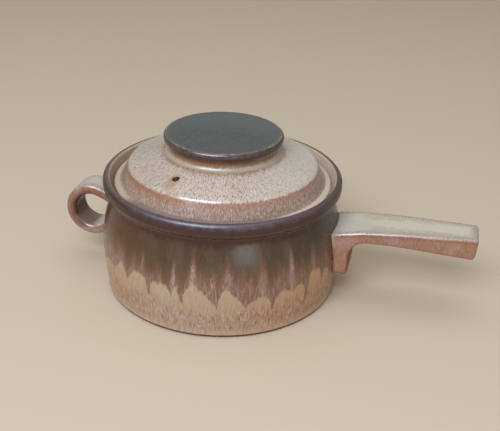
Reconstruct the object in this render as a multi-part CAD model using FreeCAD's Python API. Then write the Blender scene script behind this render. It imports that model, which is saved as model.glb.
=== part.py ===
import FreeCAD, Part
import math
import os
from FreeCAD import Vector

# A glazed stoneware casserole: a bellied pot with a rolled rim, a stick handle, a finger loop and a
# loose lid with a disc knob. Millimetres, +Z up. The origin is the middle of the flat foot, on the
# pot's axis. The stick handle points along +X and the finger loop along -X.

# Pot wall. The outside is two straight slopes that meet at the belly, where a long arc rounds them.
foot_radius = 89.6
foot_rounding = 2.5
belly_radius = 94.4
belly_height = 42.0
belly_rounding = 110.0
neck_radius = 84.6
neck_height = 78.2
neck_rounding = 4.0
wall = 6.3
floor_thickness = 7.0
floor_rounding = 13.0
throat_rounding = 13.0

# Rolled rim, with the recess that holds the lid
rim_radius = 90.5
rim_bottom = 82.0
rim_top = 91.7
rim_lower_rounding = 3.0
rim_upper_rounding = 3.0
rim_mouth_radius = 86.0
rim_mouth_height = 91.0
rim_inner_rounding = 0.9
ledge_height = 82.4
ledge_radius = 82.6
ledge_rounding = 1.2
mouth_radius = 77.9
mouth_rounding = 1.0

# Lid. Its flange lies flat on the ledge and its collar hangs inside the mouth.
lid_wall = 5.6
flange_clearance = 0.7
flange_thickness = 3.5
flange_rise = 0.8
flange_rounding = 1.3
seat_rounding = 0.8
band_foot_radius = 77.5
band_foot_rounding = 1.8
shoulder_radius = 70.9
shoulder_height = 99.3
shoulder_rounding = 3.4
cone_height = 109.5
waist_radius = 40.6
waist_foot_rounding = 4.0
waist_wall = 5.4
collar_clearance = 0.9
collar_wall = 4.8
collar_depth = 5.0
collar_rounding = 1.5
inner_rounding = 3.0
vent_diameter = 4.8
vent_reach = 56.3
vent_angle = -111.6

# Knob, a hollow disc that stands on the waist
seam_height = 113.2
knob_radius = 44.9
knob_top = 122.4
knob_bottom = 116.7
knob_thickness = 6.0
knob_upper_rounding = 2.6
knob_lower_rounding = 2.4
knob_throat_rounding = 2.0

# Stick handle: how far out and how high its arm runs, and the leg that joins it to the wall
arm_reach = 194.0
arm_root_top = 59.0
arm_bend_reach = 118.0
arm_bend_top = 64.5
arm_bend_rounding = 380.0
arm_end_top = 66.7
arm_end_bottom = 49.8
arm_end_lean = 1.4
arm_end_rounding = 3.6
arm_under_reach = 134.0
arm_under_top = 54.3
arm_under_rounding = 150.0
arm_root_half_width = 20.0
arm_end_half_width = 13.4
arm_edge_rounding = 2.4
leg_reach = 101.6
leg_bottom = 24.4
leg_rounding = 12.5
leg_tongue_rounding = 7.0

# Finger loop: a strap bent round an axis that lies across the pot, with two straight ends that run into
# the wall. The angles are how far it bends upwards and downwards from its outermost point.
loop_reach = 105.2
loop_upper_bend = 113.0
loop_lower_bend = 128.0
loop_height = 47.0
loop_outer_radius = 21.5
loop_thickness = 8.0
loop_width = 23.6
loop_edge_rounding = 3.4

# How near counts as touching, the least angle that makes an edge sharp, and the most of an outline's
# side that the arcs at its two ends may take up
tolerance = 0.01
slight_angle = math.radians(20)
arc_share = 0.99


def side_view(reach, height):
    return Vector(reach, 0, height)


def plan_view(reach, across):
    return Vector(reach, across, 0)


# A closed outline through corners given as (first, second, rounding). Each corner is rounded by an arc
# that meets both of its sides, or by a smaller one where the sides are too short for it.
def outline(corners, view):
    points = [Vector(first, second, 0) for first, second, rounding in corners]
    count = len(corners)
    back = [(points[i - 1] - points[i]).normalize() for i in range(count)]
    ahead = [(points[(i + 1) % count] - points[i]).normalize() for i in range(count)]
    half_angle = [back[i].getAngle(ahead[i]) / 2 for i in range(count)]
    reach = [corners[i][2] / math.tan(half_angle[i]) for i in range(count)]
    share = []
    for i in range(count):
        side = points[i].distanceToPoint(points[(i + 1) % count])
        wanted = reach[i] + reach[(i + 1) % count]
        share.append(min(1.0, arc_share * side / wanted) if wanted > 0 else 1.0)
    edges = []
    ends = []
    for i in range(count):
        room = min(share[i - 1], share[i])
        start = points[i] + back[i] * (reach[i] * room)
        end = points[i] + ahead[i] * (reach[i] * room)
        ends.append((start, end))
        if corners[i][2] > 0:
            radius = corners[i][2] * room
            inward = (back[i] + ahead[i]).normalize()
            middle = points[i] + inward * (radius / math.sin(half_angle[i]) - radius)
            along = [view(point.x, point.y) for point in (start, middle, end)]
            edges.append(Part.Arc(*along).toShape())
    for i in range(count):
        end = ends[i][1]
        start = ends[(i + 1) % count][0]
        edges.append(Part.LineSegment(view(end.x, end.y), view(start.x, start.y)).toShape())
    return Part.Wire(Part.__sortEdges__(edges))


def turned(corners):
    return Part.Face(outline(corners, side_view)).revolve(Vector(0, 0, 0), Vector(0, 0, 1), 360)


def bar(corners, view, start, length):
    face = Part.Face(outline(corners, view))
    face.translate(start)
    return face.extrude(length)


def wall_outside_corners():
    return [
        (0, 0, 0),
        (foot_radius, 0, foot_rounding),
        (belly_radius, belly_height, belly_rounding),
        (neck_radius, neck_height, neck_rounding),
        (rim_radius, rim_bottom, rim_lower_rounding),
        (rim_radius, rim_top, rim_upper_rounding),
    ]


def pot_outside():
    return turned(wall_outside_corners() + [(0, rim_top, 0)])


# The inside of the wall keeps the wall's thickness from the two outer slopes, and the upper one stops
# where it reaches the mouth.
def bowl():
    inner_belly = belly_radius - wall
    inner_neck = neck_radius - wall
    upper_slope = (inner_neck - inner_belly) / (neck_height - belly_height)
    mouth_height = belly_height + (mouth_radius - inner_belly) / upper_slope
    lower_slope = (belly_radius - foot_radius) / belly_height
    inner_foot = inner_belly - lower_slope * (belly_height - floor_thickness)
    corners = wall_outside_corners() + [
        (rim_mouth_radius, rim_mouth_height, rim_inner_rounding),
        (ledge_radius, ledge_height, ledge_rounding),
        (mouth_radius, ledge_height, mouth_rounding),
        (mouth_radius, mouth_height, throat_rounding),
        (inner_belly, belly_height, belly_rounding - wall),
        (inner_foot, floor_thickness, floor_rounding),
        (0, floor_thickness, 0),
    ]
    return turned(corners)


def lid_cover():
    flange_radius = ledge_radius - flange_clearance
    collar_radius = mouth_radius - collar_clearance
    collar_inner = collar_radius - collar_wall
    flange_top = ledge_height + flange_thickness
    band_foot_height = flange_top + flange_rise
    band_lean = (band_foot_radius - shoulder_radius) / (shoulder_height - band_foot_height)
    cone_fall = (cone_height - shoulder_height) / (shoulder_radius - waist_radius)
    inner_band = band_foot_radius - lid_wall * math.hypot(1, band_lean)
    inner_cone = cone_height - lid_wall * math.hypot(1, cone_fall)
    inner_waist = waist_radius - waist_wall
    # The inner faces keep the wall's thickness from the band and the cone, and meet at the shoulder.
    rise = inner_cone + cone_fall * waist_radius - band_foot_height - cone_fall * inner_band
    inner_shoulder_height = band_foot_height + rise / (1 - cone_fall * band_lean)
    inner_shoulder = inner_band - band_lean * (inner_shoulder_height - band_foot_height)
    collar_top = band_foot_height + (inner_band - collar_inner) / band_lean
    inner_waist_foot = inner_cone + cone_fall * (waist_radius - inner_waist)
    cover = turned([
        (waist_radius, seam_height, 0),
        (waist_radius, cone_height, waist_foot_rounding),
        (shoulder_radius, shoulder_height, shoulder_rounding),
        (band_foot_radius, band_foot_height, band_foot_rounding),
        (flange_radius, flange_top, flange_rounding),
        (flange_radius, ledge_height, seat_rounding),
        (collar_radius, ledge_height, 0),
        (collar_radius, ledge_height - collar_depth, collar_rounding),
        (collar_inner, ledge_height - collar_depth, collar_rounding),
        (collar_inner, collar_top, inner_rounding),
        (inner_shoulder, inner_shoulder_height, inner_rounding),
        (inner_waist, inner_waist_foot, inner_rounding),
        (inner_waist, seam_height, 0),
    ])
    return cover.cut(vent(cone_fall))


# The steam hole is bored square to the cone.
def vent(cone_fall):
    height = cone_height - cone_fall * (vent_reach - waist_radius)
    angle = math.radians(vent_angle)
    middle = Vector(vent_reach * math.cos(angle), vent_reach * math.sin(angle), height)
    outward = Vector(cone_fall * math.cos(angle), cone_fall * math.sin(angle), 1).normalize()
    depth = 2 * lid_wall
    return Part.makeCylinder(vent_diameter / 2, 2 * depth, middle - outward * depth, outward)


def lid_knob():
    inner_waist = waist_radius - waist_wall
    inner_top = knob_top - knob_thickness
    return turned([
        (0, knob_top, 0),
        (knob_radius, knob_top, knob_upper_rounding),
        (knob_radius, knob_bottom, knob_lower_rounding),
        (waist_radius, knob_bottom, knob_throat_rounding),
        (waist_radius, seam_height, 0),
        (inner_waist, seam_height, 0),
        (inner_waist, inner_top, inner_rounding),
        (0, inner_top, 0),
    ])


# The edges of a solid where two faces meet at more than a slight angle.
def sharp_edges(solid):
    found = []
    for edge in solid.Edges:
        middle = edge.valueAt((edge.FirstParameter + edge.LastParameter) / 2)
        faces = solid.ancestorsOfType(edge, Part.Face)
        normals = [face.normalAt(*face.Surface.parameter(middle)) for face in faces]
        if len(normals) == 2 and normals[0].getAngle(normals[1]) > slight_angle:
            found.append(edge)
    return found


# The arm and its leg are cut from one side outline and one plan outline. The leg's lower corners are
# rounded wide, then every edge is rounded, and last the pot's wall is cut away.
def stick_handle():
    inside = mouth_radius / 2
    beyond = arm_reach + belly_radius - inside
    side = bar([
        (inside, arm_root_top, 0),
        (neck_radius, arm_root_top, 0),
        (arm_bend_reach, arm_bend_top, arm_bend_rounding),
        (arm_reach, arm_end_top, arm_end_rounding),
        (arm_reach - arm_end_lean, arm_end_bottom, arm_end_rounding),
        (arm_under_reach, arm_under_top, arm_under_rounding),
        (leg_reach, arm_under_top, leg_rounding),
        (leg_reach, leg_bottom, 0),
        (inside, leg_bottom, 0),
    ], side_view, Vector(0, -foot_radius, 0), Vector(0, 2 * foot_radius, 0))
    taper = (arm_root_half_width - arm_end_half_width) / (arm_reach - belly_radius)
    inner_half_width = arm_root_half_width + taper * (belly_radius - inside)
    outer_half_width = arm_end_half_width - taper * (beyond - arm_reach)
    plan = bar([
        (inside, inner_half_width, 0),
        (beyond, outer_half_width, 0),
        (beyond, -outer_half_width, 0),
        (inside, -inner_half_width, 0),
    ], plan_view, Vector(0, 0, 0), Vector(0, 0, rim_top))
    blank = side.common(plan)
    lower = [edge for edge in sharp_edges(blank) if edge.BoundBox.ZMax < leg_bottom + tolerance
             and edge.BoundBox.XMin < inside + tolerance < edge.BoundBox.XMax - tolerance]
    blank = blank.makeFillet(leg_tongue_rounding, lower)
    edges = [edge for edge in sharp_edges(blank) if edge.BoundBox.XMax > inside + tolerance]
    return blank.makeFillet(arm_edge_rounding, edges).cut(pot_outside())


# The way a straight end of the loop runs on from the bend, far enough to lie inside the wall.
def straight_end(bend):
    angle = math.radians(bend)
    ahead = Vector(math.sin(angle), 0, math.cos(angle)) * math.copysign(1, bend)
    return ahead * loop_outer_radius


def loop_handle():
    half_width = loop_width / 2
    inner_radius = loop_outer_radius - loop_thickness
    strap = Part.Face(outline([
        (inner_radius, -half_width, loop_edge_rounding),
        (loop_outer_radius, -half_width, loop_edge_rounding),
        (loop_outer_radius, half_width, loop_edge_rounding),
        (inner_radius, half_width, loop_edge_rounding),
    ], plan_view))
    centre = Vector(-loop_reach, 0, loop_height)
    across = Vector(0, 1, 0)
    strap.translate(centre)
    strap.rotate(centre, across, 180 - loop_lower_bend)
    bend = strap.revolve(centre, across, loop_lower_bend + loop_upper_bend)
    lower_end = strap.extrude(straight_end(-loop_lower_bend))
    strap.rotate(centre, across, loop_lower_bend + loop_upper_bend)
    upper_end = strap.extrude(straight_end(loop_upper_bend))
    return bend.fuse([lower_end, upper_end]).removeSplitter().cut(pot_outside())


def save(name, shape):
    shape.exportStep("parts/" + name + ".step")
    print(name, "solids", len(shape.Solids), "valid", shape.isValid(), "volume", round(shape.Volume))


os.makedirs("parts", exist_ok=True)
save("bowl", bowl())
save("stick_handle", stick_handle())
save("loop_handle", loop_handle())
save("lid_cover", lid_cover())
save("lid_knob", lid_knob())
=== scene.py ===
import math
import bmesh
import bpy
import numpy as np
from mathutils import Matrix, Vector


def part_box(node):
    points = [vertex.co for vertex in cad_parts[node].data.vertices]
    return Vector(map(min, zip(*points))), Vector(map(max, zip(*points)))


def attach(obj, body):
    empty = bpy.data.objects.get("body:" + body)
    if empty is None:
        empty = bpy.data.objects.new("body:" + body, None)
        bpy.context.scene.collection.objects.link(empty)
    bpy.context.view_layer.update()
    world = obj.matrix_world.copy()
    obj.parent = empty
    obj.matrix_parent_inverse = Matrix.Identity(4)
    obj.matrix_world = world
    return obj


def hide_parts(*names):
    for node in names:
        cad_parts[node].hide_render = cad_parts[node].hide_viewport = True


# A glazed stoneware casserole with a loose lid. The pot's axis is Z, the stick handle points along +X
# and the finger loop along -X. Shapes are worked out in millimetres, and makePiece turns them into metres.

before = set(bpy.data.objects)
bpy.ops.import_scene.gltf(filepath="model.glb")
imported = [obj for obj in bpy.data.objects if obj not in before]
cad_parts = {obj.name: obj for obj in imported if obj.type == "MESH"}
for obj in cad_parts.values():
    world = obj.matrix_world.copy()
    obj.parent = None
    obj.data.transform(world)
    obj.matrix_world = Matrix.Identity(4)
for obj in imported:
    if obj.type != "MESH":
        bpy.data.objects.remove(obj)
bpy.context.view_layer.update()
mm = 0.001
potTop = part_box("bowl")[1].z / mm
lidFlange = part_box("lid_cover")[1].y / mm
rimRadius = lidFlange + 8.6         # the rolled rim stands this far outside the flange
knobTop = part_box("lid_knob")[1].z / mm
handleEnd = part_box("stick_handle")[1].x / mm
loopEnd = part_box("loop_handle")[0].x / mm
print("frame loaded")


# Shapes

meshing = {
    "arcShare": 0.99,       # the most of a side that the arcs at its ends take up
    "arcTurn": 9.0,         # degrees of turn in one step of an arc
    "longestStep": 2.2,     # along an outline, in mm
    "mergeWithin": 1e-7,    # metres between two points that become one
    "tiny": 1e-6,           # keeps divisions away from 0
    "sharpFrom": 50.0,      # degrees between two faces, from which their edge stays sharp
}


# An outline through corners (across, height, rounding), and where wanted the longest step on the side that
# follows. A rounded corner becomes an arc that touches both sides: its centre lies on the corner's bisector,
# rounding / sin(half the angle) from the corner.
# Returns the points, and how far along the outline the middle of each corner lies.
def roundedOutline(corners, closed=False, longestStep=meshing["longestStep"]):
    spots = np.array([corner[:2] for corner in corners], float)
    rounding = np.array([corner[2] for corner in corners], float)
    sideSteps = [corner[3] if len(corner) > 3 else longestStep for corner in corners]
    ahead = np.roll(spots, -1, 0) - spots
    side = np.hypot(ahead[:, 0], ahead[:, 1])
    ahead /= side[:, None]
    back = -np.roll(ahead, 1, 0)
    half = np.arccos(np.clip((back * ahead).sum(1), -1, 1)) / 2
    reach = rounding / np.tan(half)
    wanted = np.maximum(reach + np.roll(reach, -1), meshing["tiny"])
    share = np.minimum(1, meshing["arcShare"] * side / wanted)
    room = np.minimum(share, np.roll(share, 1))
    stretches = []
    for i, spot in enumerate(spots):
        if rounding[i] == 0:
            stretches.append(spot[None])
            continue
        radius = rounding[i] * room[i]
        bisector = back[i] + ahead[i]
        centre = spot + bisector / np.linalg.norm(bisector) * radius / math.sin(half[i])
        first = spot + back[i] * reach[i] * room[i] - centre
        last = spot + ahead[i] * reach[i] * room[i] - centre
        start = math.atan2(first[1], first[0])
        turn = math.atan2(first[0] * last[1] - first[1] * last[0], first @ last)
        steps = max(math.ceil(abs(math.degrees(turn)) / meshing["arcTurn"]),
                    math.ceil(abs(turn) * radius / longestStep), 2)
        angles = start + turn * np.linspace(0, 1, steps + 1)
        stretches.append(centre + radius * np.stack([np.cos(angles), np.sin(angles)], 1))
    pieces, marks, count = [], [], 0
    for i, stretch in enumerate(stretches):
        marks.append(count + (len(stretch) - 1) // 2)
        pieces.append(stretch)
        count += len(stretch)
        if i == len(stretches) - 1 and not closed:
            break
        gap = stretches[(i + 1) % len(stretches)][0] - stretch[-1]
        steps = math.ceil(np.linalg.norm(gap) / sideSteps[i])
        between = stretch[-1] + gap * np.linspace(0, 1, steps + 1)[1:-1, None]
        pieces.append(between)
        count += len(between)
    points = np.concatenate(pieces)
    along = np.concatenate([[0], np.cumsum(np.hypot(*np.diff(points, axis=0).T))])
    return points, along, along[marks]


# The outward side of an outline that runs counter-clockwise: its direction turned a quarter to the right.
def outlineNormals(points, closed=False):
    if closed:
        step = np.roll(points, -1, 0) - np.roll(points, 1, 0)
    else:
        step = np.gradient(points, axis=0)
    step /= np.hypot(step[:, 0], step[:, 1])[:, None]
    return np.stack([step[:, 1], -step[:, 0]], 1)


# The angles of a turned piece's columns, in radians.
def turnAngles(piece):
    return np.arange(piece["columns"]) * 2 * np.pi / piece["columns"]


# A surface of revolution: the outline is pushed out along its normals by the relief, and (radius, height) at
# each angle is (radius cos, radius sin, height).
def turnedGrid(points, angles, relief=0, closed=False):
    outline = points[:, None] + (relief + 0 * angles)[..., None] * outlineNormals(points, closed)[:, None]
    radius, height = outline[..., 0], outline[..., 1]
    return np.stack([radius * np.cos(angles), radius * np.sin(angles), height], -1)


# Quads between the points of a grid, which wraps round along its second direction, and along its first
# too where ring is true.
def gridFaces(rows, columns, ring=False):
    i, j = np.meshgrid(np.arange(rows if ring else rows - 1), np.arange(columns), indexing="ij")
    over, up = (j + 1) % columns, (i + 1) % rows
    corners = [i * columns + j, i * columns + over, up * columns + over, up * columns + j]
    return np.stack(corners, -1).reshape(-1, 4)


# Smooth rise from 0 at low to 1 at high: t t (3 - 2 t).
def rise(value, low, high):
    share = np.clip((value - low) / (high - low), 0, 1)
    return share * share * (3 - 2 * share)


# Gentle unevenness between about -1 and 1: a sum of waves round the axis and along the outline, each with
# its own phase.
def wobble(angles, along, seed, turns=(2, 3, 5, 7), length=60.0):
    random = np.random.default_rng(seed)
    total = 0
    for turn in turns:
        phase, drift = random.uniform(0, 2 * np.pi, 2)
        total = total + np.sin(turn * angles + phase + np.sin(2 * np.pi * along / length + drift)) / turn
    return total / sum(1 / turn for turn in turns)


def newObject(name, data):
    made = bpy.data.objects.new(name, data)
    bpy.context.scene.collection.objects.link(made)
    return made


# A mesh from points in mm, faces, and a number per point for each named field. It gets the material, rides
# on the body and stands for the CAD node.
def makePiece(name, points, faces, fields, material, body, node):
    mesh = bpy.data.meshes.new(name)
    mesh.from_pydata(points * mm, [], faces)
    for field, values in fields.items():
        attribute = mesh.attributes.new(field, "FLOAT", "POINT")
        attribute.data.foreach_set("value", np.ascontiguousarray(values, np.float32).ravel())
    build = bmesh.new()
    build.from_mesh(mesh)
    bmesh.ops.remove_doubles(build, verts=build.verts, dist=meshing["mergeWithin"])
    build.to_mesh(mesh)
    build.free()
    mesh.shade_smooth()
    mesh.set_sharp_from_angle(angle=math.radians(meshing["sharpFrom"]))
    mesh.materials.append(material)
    piece = newObject(name, mesh)
    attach(piece, body)
    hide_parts(node)
    print(name, "has", len(mesh.polygons), "faces")


# The faces of a turned piece whose outline starts and ends on the axis: a grid with a point at each pole.
def poledGrid(grid, fields):
    rows, columns = grid.shape[:2]
    inner = grid[1:-1].reshape(-1, 3)
    points = np.concatenate([inner, grid[0, :1], grid[-1, :1]])
    first, last = len(inner), len(inner) + 1
    j = np.arange(columns)
    over = (j + 1) % columns
    top = (rows - 3) * columns
    faces = gridFaces(rows - 2, columns).tolist()
    faces += np.stack([first + 0 * j, over, j], 1).tolist()
    faces += np.stack([top + j, top + over, last + 0 * j], 1).tolist()
    fields = {name: np.concatenate([values[1:-1].ravel(), values[0, :1], values[-1, :1]])
              for name, values in fields.items()}
    return points, faces, fields


# Material parts. Each function here adds nodes to the tree that is being made.

making = {"tree": None}


# A glaze colour, given by its name, as linear light.
def paint(name):
    parts = [int(glaze[name][i:i + 2], 16) / 255 for i in (0, 2, 4)]
    return (*(part / 12.92 if part <= 0.04045 else ((part + 0.055) / 1.055) ** 2.4 for part in parts), 1)


# Links a node's output to a socket, or sets the socket to a plain value.
def feed(socket, value):
    if isinstance(value, bpy.types.NodeSocket):
        making["tree"].links.new(value, socket)
    else:
        socket.default_value = value


def newNode(kind, *values, **settings):
    node = making["tree"].nodes.new("ShaderNode" + kind)
    for name, setting in settings.items():
        setattr(node, name, setting)
    for socket, value in zip(node.inputs, values):
        feed(socket, value)
    return node


def calc(operation, *values):
    return newNode("Math", *values, operation=operation).outputs[0]


def times(*values):
    total = values[0]
    for value in values[1:]:
        total = calc("MULTIPLY", total, value)
    return total


# 0 where the value is at or below low, 1 at or above high, and smooth between. Low may be above high, and
# both are counted from the mark.
def fade(value, low, high, mark=0):
    falling = low > high
    node = newNode("MapRange", value, mark + min(low, high), mark + max(low, high), float(falling),
                   float(not falling), interpolation_type="SMOOTHSTEP")
    return node.outputs["Result"]


def mix(factor, first, second):
    node = newNode("Mix", factor, data_type="RGBA")
    for socket, value in zip(node.inputs[6:8], (first, second)):
        feed(socket, paint(value) if isinstance(value, str) else value)
    return node.outputs[2]


# Coats over a colour. Each gives its tone, and the factors that are multiplied to its strength. In the
# glazes a place fades in mm across the piece or along its outline, and a noise between 0 and 1.
def coats(colour, *layers):
    for tone, *factors in layers:
        colour = mix(times(*factors), colour, tone)
    return colour


# value + strength (noise - 0.5), for each noise and its strength in turn
def shake(value, *noises):
    for unevenness, strength in zip(noises[::2], noises[1::2]):
        value = calc("ADD", value, times(calc("SUBTRACT", unevenness, 0.5), strength))
    return value


def field(name):
    return newNode("Attribute", attribute_name=name).outputs["Fac"]


# Object coordinates in mm, each axis times its own stretch.
def place(stretch=(1, 1, 1), shift=(0, 0, 0)):
    node = newNode("Mapping", newNode("TexCoord").outputs["Object"])
    node.inputs["Location"].default_value = shift
    node.inputs["Scale"].default_value = [part / mm for part in stretch]
    return node.outputs["Vector"]


def split(vector):
    return newNode("SeparateXYZ", vector).outputs


def texture(vector, scale, detail=2.0, rough=0.5):
    node = newNode("TexNoise")
    for label, value in (("Vector", vector), ("Scale", scale), ("Detail", detail), ("Roughness", rough)):
        feed(node.inputs[label], value)
    return node.outputs["Fac"]


# Noise with marks of about the size in mm
def noise(size, detail=2.0, rough=0.5, stretch=(1, 1, 1), shift=(0, 0, 0)):
    return texture(place(stretch, shift), 1 / size, detail, rough)


def startGroup(name, inputs, outputs):
    tree = making["tree"] = bpy.data.node_groups.new(name, "ShaderNodeTree")
    for way, sockets in (("INPUT", inputs), ("OUTPUT", outputs)):
        for label, kind in sockets.items():
            tree.interface.new_socket(label, in_out=way, socket_type="NodeSocket" + kind)
    return tree, tree.nodes.new("NodeGroupInput").outputs, tree.nodes.new("NodeGroupOutput").inputs


def useGroup(group, **values):
    node = newNode("Group", node_tree=group)
    for label, value in values.items():
        feed(node.inputs[label], value)
    return node.outputs


# Short dashes of thin and thick glaze along the way it ran: two sizes of noise added, then cut to a mask.
def makeDashes():
    sockets = {"Vector": "Vector", "Size": "Float", "Low": "Float", "High": "Float"}
    tree, given, result = startGroup("glazeDashes", sockets, {"Mask": "Float"})
    coarse, finer = (texture(given["Vector"], calc("DIVIDE", ratio, given["Size"]), 1.0)
                     for ratio in (1.0, 2.3))
    total = calc("ADD", times(coarse, 0.62), times(finer, 0.38))
    cut = newNode("MapRange", total, given["Low"], given["High"], interpolation_type="SMOOTHSTEP")
    feed(result["Mask"], cut.outputs["Result"])
    return tree


# The skin of a fired glaze: a faint orange peel, long soft swells and a few pinholes, as a height, and a
# roughness that varies about the level given.
def makeSkin():
    tree, given, result = startGroup("glazeSkin", {"Vector": "Vector", "Level": "Float", "Spread": "Float"},
                                     {"Height": "Float", "Roughness": "Float"})
    peel, swell, pits = (texture(given["Vector"], 1 / size, detail)
                         for size, detail in ((1.6, 1.0), (7.0, 2.0), (0.9, 0.0)))
    height = calc("ADD", times(peel, 0.35), times(swell, 0.9))
    feed(result["Height"], calc("SUBTRACT", height, fade(pits, 0.24, 0.14)))
    matt = calc("ADD", times(peel, 0.4), times(swell, 0.6))
    feed(result["Roughness"], shake(given["Level"], matt, given["Spread"]))
    return tree


# Round the pot's axis, a vector that is even along each ring and squeezed outwards: (x, y) at the mean
# radius, and the radius less the height, times the stretch.
def makeRings():
    tree, given, result = startGroup("ringPlace", {"Vector": "Vector", "Mean": "Float", "Stretch": "Float"},
                                     {"Vector": "Vector"})
    x, y, z = split(given["Vector"])
    radius = calc("SQRT", calc("ADD", times(x, x), times(y, y)))
    share = calc("DIVIDE", given["Mean"], calc("MAXIMUM", radius, 1.0))
    joined = newNode("CombineXYZ", times(x, share), times(y, share),
                     times(calc("SUBTRACT", radius, z), given["Stretch"]))
    feed(result["Vector"], joined.outputs["Vector"])
    return tree


glazeDashes, glazeSkin, ringPlace = makeDashes(), makeSkin(), makeRings()


def dashes(size, low, high, stretch=(1, 1, 1), shift=(0, 0, 0), vector=None):
    vector = place(stretch, shift) if vector is None else vector
    return useGroup(glazeDashes, Vector=vector, Size=size, Low=low, High=high)["Mask"]


def ringed(mean, stretch, lift=0):
    return useGroup(ringPlace, Vector=place(shift=(0, 0, lift)), Mean=mean, Stretch=stretch)["Vector"]


def newMaterial(name):
    material = bpy.data.materials.new(name)
    material.use_nodes = True
    making["tree"] = material.node_tree
    making["tree"].nodes.clear()
    shader = newNode("BsdfPrincipled")
    newNode("OutputMaterial", shader.outputs["BSDF"])
    return material, shader


# The glaze's gloss and skin, on a material whose colour is done.
def finishGlaze(shader, colour, level, spread, depth, extra=None, rough=None):
    skin = useGroup(glazeSkin, Vector=place(), Level=level, Spread=spread)
    height = skin["Height"]
    if extra is not None:
        height = calc("ADD", height, extra)
    if rough is not None:
        height = times(height, rough)
    bump = newNode("Bump")
    bump.inputs["Distance"].default_value = depth * mm
    feed(bump.inputs["Height"], height)
    feed(shader.inputs["Normal"], bump.outputs["Normal"])
    feed(shader.inputs["Roughness"], skin["Roughness"])
    feed(shader.inputs["Base Color"], colour)
    shader.inputs["IOR"].default_value = 1.5


# The glaze's colours. The pieces share them, thick in one place and thin in another, and each piece adds its
# own further down.
glaze = {
    "clay": "8a6a52", "footLine": "5a3426", "footEdge": "5c2c15", "footGlaze": "c3aa90",
    "tan": "ad9280", "tanWarm": "b07c56", "ochre": "b19c80", "ochreWarm": "b98f6a",
    "dashBrown": "765241", "dashPale": "cdbbab", "inside": "9d8672", "rust": "7c583f", "sage": "c3baa8",
}


# Pot

ledgeHeight = potTop - 9.3          # the ledge that the lid lies on
pot = {
    # Corners of the outline: radius, height, rounding
    "foot": (rimRadius - 0.9, 0, 2.5), "belly": (rimRadius + 3.9, 42.0, 110.0),
    "neck": (rimRadius - 5.9, potTop - 13.5, 6.0),
    "rimLow": (rimRadius, potTop - 9.7, 4.2), "rimTop": (rimRadius, potTop, 4.2),
    "rimMouth": (rimRadius - 4.5, potTop - 0.7, 0.9),
    "ledge": (rimRadius - 7.9, ledgeHeight, 1.2), "mouth": (rimRadius - 12.6, ledgeHeight, 1.0),
    "wall": 6.3, "floor": 7.0, "throatRounding": 13.0, "floorRounding": 13.0,
    "columns": 560, "footStep": 15.0, "insideStep": 3.0,        # coarser steps where nothing is drawn
    "wobble": 0.12, "wobbleSeed": 4,            # unevenness of the thrown wall
    "glazeStep": 0.22, "stepWidth": (-0.5, 1.2),    # how far the run glaze stands proud, and over what width
    "throwingDepth": 0.07, "throwingPitch": 10.0,
    # Where the unevenness begins and ends, along the outline from the foot, neck, mouth and floor's middle
    "footFade": (0, 6), "neckFade": (2, -6), "mouthFade": (0, 12), "middleFade": (-2, -20),
}


# Outside the corners as given, and inside the same slopes at the wall's thickness.
def potOutline():
    wall, floor, step = pot["wall"], pot["floor"], pot["insideStep"]
    bellyRadius, bellyHeight, bellyRounding = pot["belly"]
    innerBelly = bellyRadius - wall
    upperSlope = (pot["neck"][0] - bellyRadius) / (pot["neck"][1] - bellyHeight)
    throatHeight = bellyHeight + (pot["mouth"][0] - innerBelly) / upperSlope
    innerFoot = innerBelly - (bellyRadius - pot["foot"][0]) * (1 - floor / bellyHeight)
    named = ("foot", "belly", "neck", "rimLow", "rimTop", "rimMouth", "ledge", "mouth")
    return roundedOutline([
        (0, 0, 0, pot["footStep"]), *(pot[corner] for corner in named),
        (pot["mouth"][0], throatHeight, pot["throatRounding"], step),
        (innerBelly, bellyHeight, bellyRounding - wall, step),
        (innerFoot, floor, pot["floorRounding"], step), (0, floor, 0),
    ])


potPoints, potAlong, potMarks = potOutline()
footAlong, neckAlong, rimLowAlong, rimTopAlong, rimMouthAlong, mouthAlong = potMarks[[1, 3, 4, 5, 6, 8]]
outerRows = (potAlong > footAlong) & (potAlong < neckAlong)


# The wall's outer radius at a height, in mm.
def wallRadius(height):
    return np.interp(height, potPoints[outerRows, 1], potPoints[outerRows, 0])


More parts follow.
